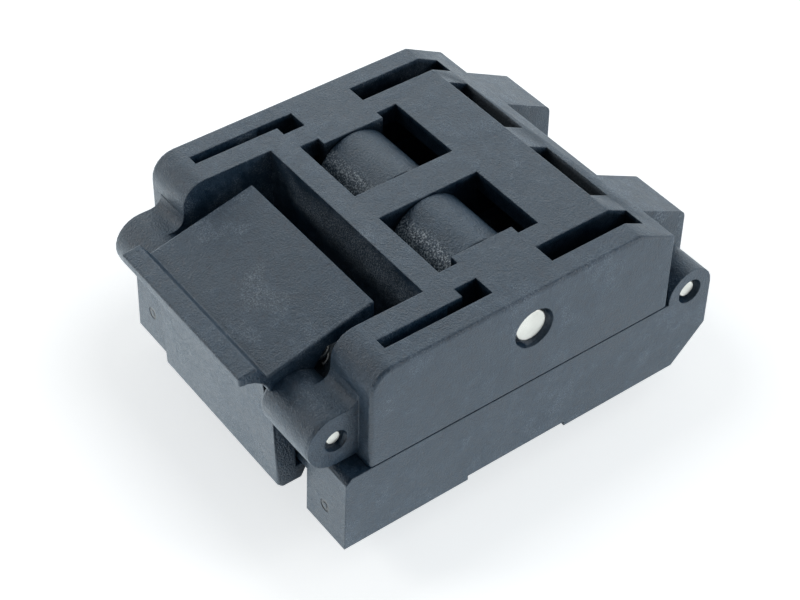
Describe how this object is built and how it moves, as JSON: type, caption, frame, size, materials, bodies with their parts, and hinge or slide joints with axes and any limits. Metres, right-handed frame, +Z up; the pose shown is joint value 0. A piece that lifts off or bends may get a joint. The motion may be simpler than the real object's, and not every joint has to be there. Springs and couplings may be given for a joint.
{
  "type": "ic test socket",
  "caption": "Clamshell test socket: a hinged, latched lid with a rocking pressure pad clamps a leaded chip onto sprung contacts in a base with solder tails.",
  "frame": {"origin": "bottom centre of the bounding box, level with the tips of the solder tails", "axes": "+X along the hinge pin, +Y from the latch towards the hinge, +Z up from the circuit board"},
  "size_m": [0.03, 0.04, 0.0196],
  "materials": {
    "moulded_black": "fine matt moulded grain",
    "pad_black": "speckled matt, glass filled",
    "bright_steel": "bright ground pin",
    "spring_steel": "drawn wire",
    "contact_gold": "gold plated spring strip"
  },
  "bodies": {
    "base": {"base_housing": "moulded_black", "package_nest": "moulded_black", "hinge_pin": "bright_steel", "hinge_spring": "spring_steel", "contact_front_1": "contact_gold", "contact_front_2": "contact_gold", "contact_front_3": "contact_gold", "contact_front_4": "contact_gold", "contact_front_5": "contact_gold", "contact_front_6": "contact_gold", "contact_front_7": "contact_gold", "contact_front_8": "contact_gold", "contact_right_1": "contact_gold", "contact_right_2": "contact_gold", "contact_right_3": "contact_gold", "contact_right_4": "contact_gold", "contact_right_5": "contact_gold", "contact_right_6": "contact_gold", "contact_right_7": "contact_gold", "contact_right_8": "contact_gold", "contact_rear_1": "contact_gold", "contact_rear_2": "contact_gold", "contact_rear_3": "contact_gold", "contact_rear_4": "contact_gold", "contact_rear_5": "contact_gold", "contact_rear_6": "contact_gold", "contact_rear_7": "contact_gold", "contact_rear_8": "contact_gold", "contact_left_1": "contact_gold", "contact_left_2": "contact_gold", "contact_left_3": "contact_gold", "contact_left_4": "contact_gold", "contact_left_5": "contact_gold", "contact_left_6": "contact_gold", "contact_left_7": "contact_gold", "contact_left_8": "contact_gold"},
    "lid": {"lid_housing": "moulded_black", "pad_axle": "bright_steel", "latch_pin": "bright_steel", "latch_spring_left": "spring_steel", "latch_spring_right": "spring_steel"},
    "pad": {"pressure_pad": "pad_black"},
    "latch": {"latch": "moulded_black"}
  },
  "joints": [
    {"name": "lid_hinge", "type": "hinge", "parent": "base", "child": "lid", "pos_m": [0, 0.01753, 0.0107], "axis": [-1, 0, 0], "range_deg": [0, 105]},
    {"name": "latch_pivot", "type": "hinge", "parent": "lid", "child": "latch", "pos_m": [0, -0.0155, 0.01337], "axis": [-1, 0, 0], "range_deg": [0, 8], "stiffness_Nm_per_rad": 0.01, "springref_deg": -68.75, "deforming": ["latch_spring_left", "latch_spring_right"]},
    {"name": "pad_rock", "type": "hinge", "parent": "lid", "child": "pad", "pos_m": [0, 0.00133, 0.01595], "axis": [1, 0, 0], "range_deg": [-2, 2]}
  ]
}
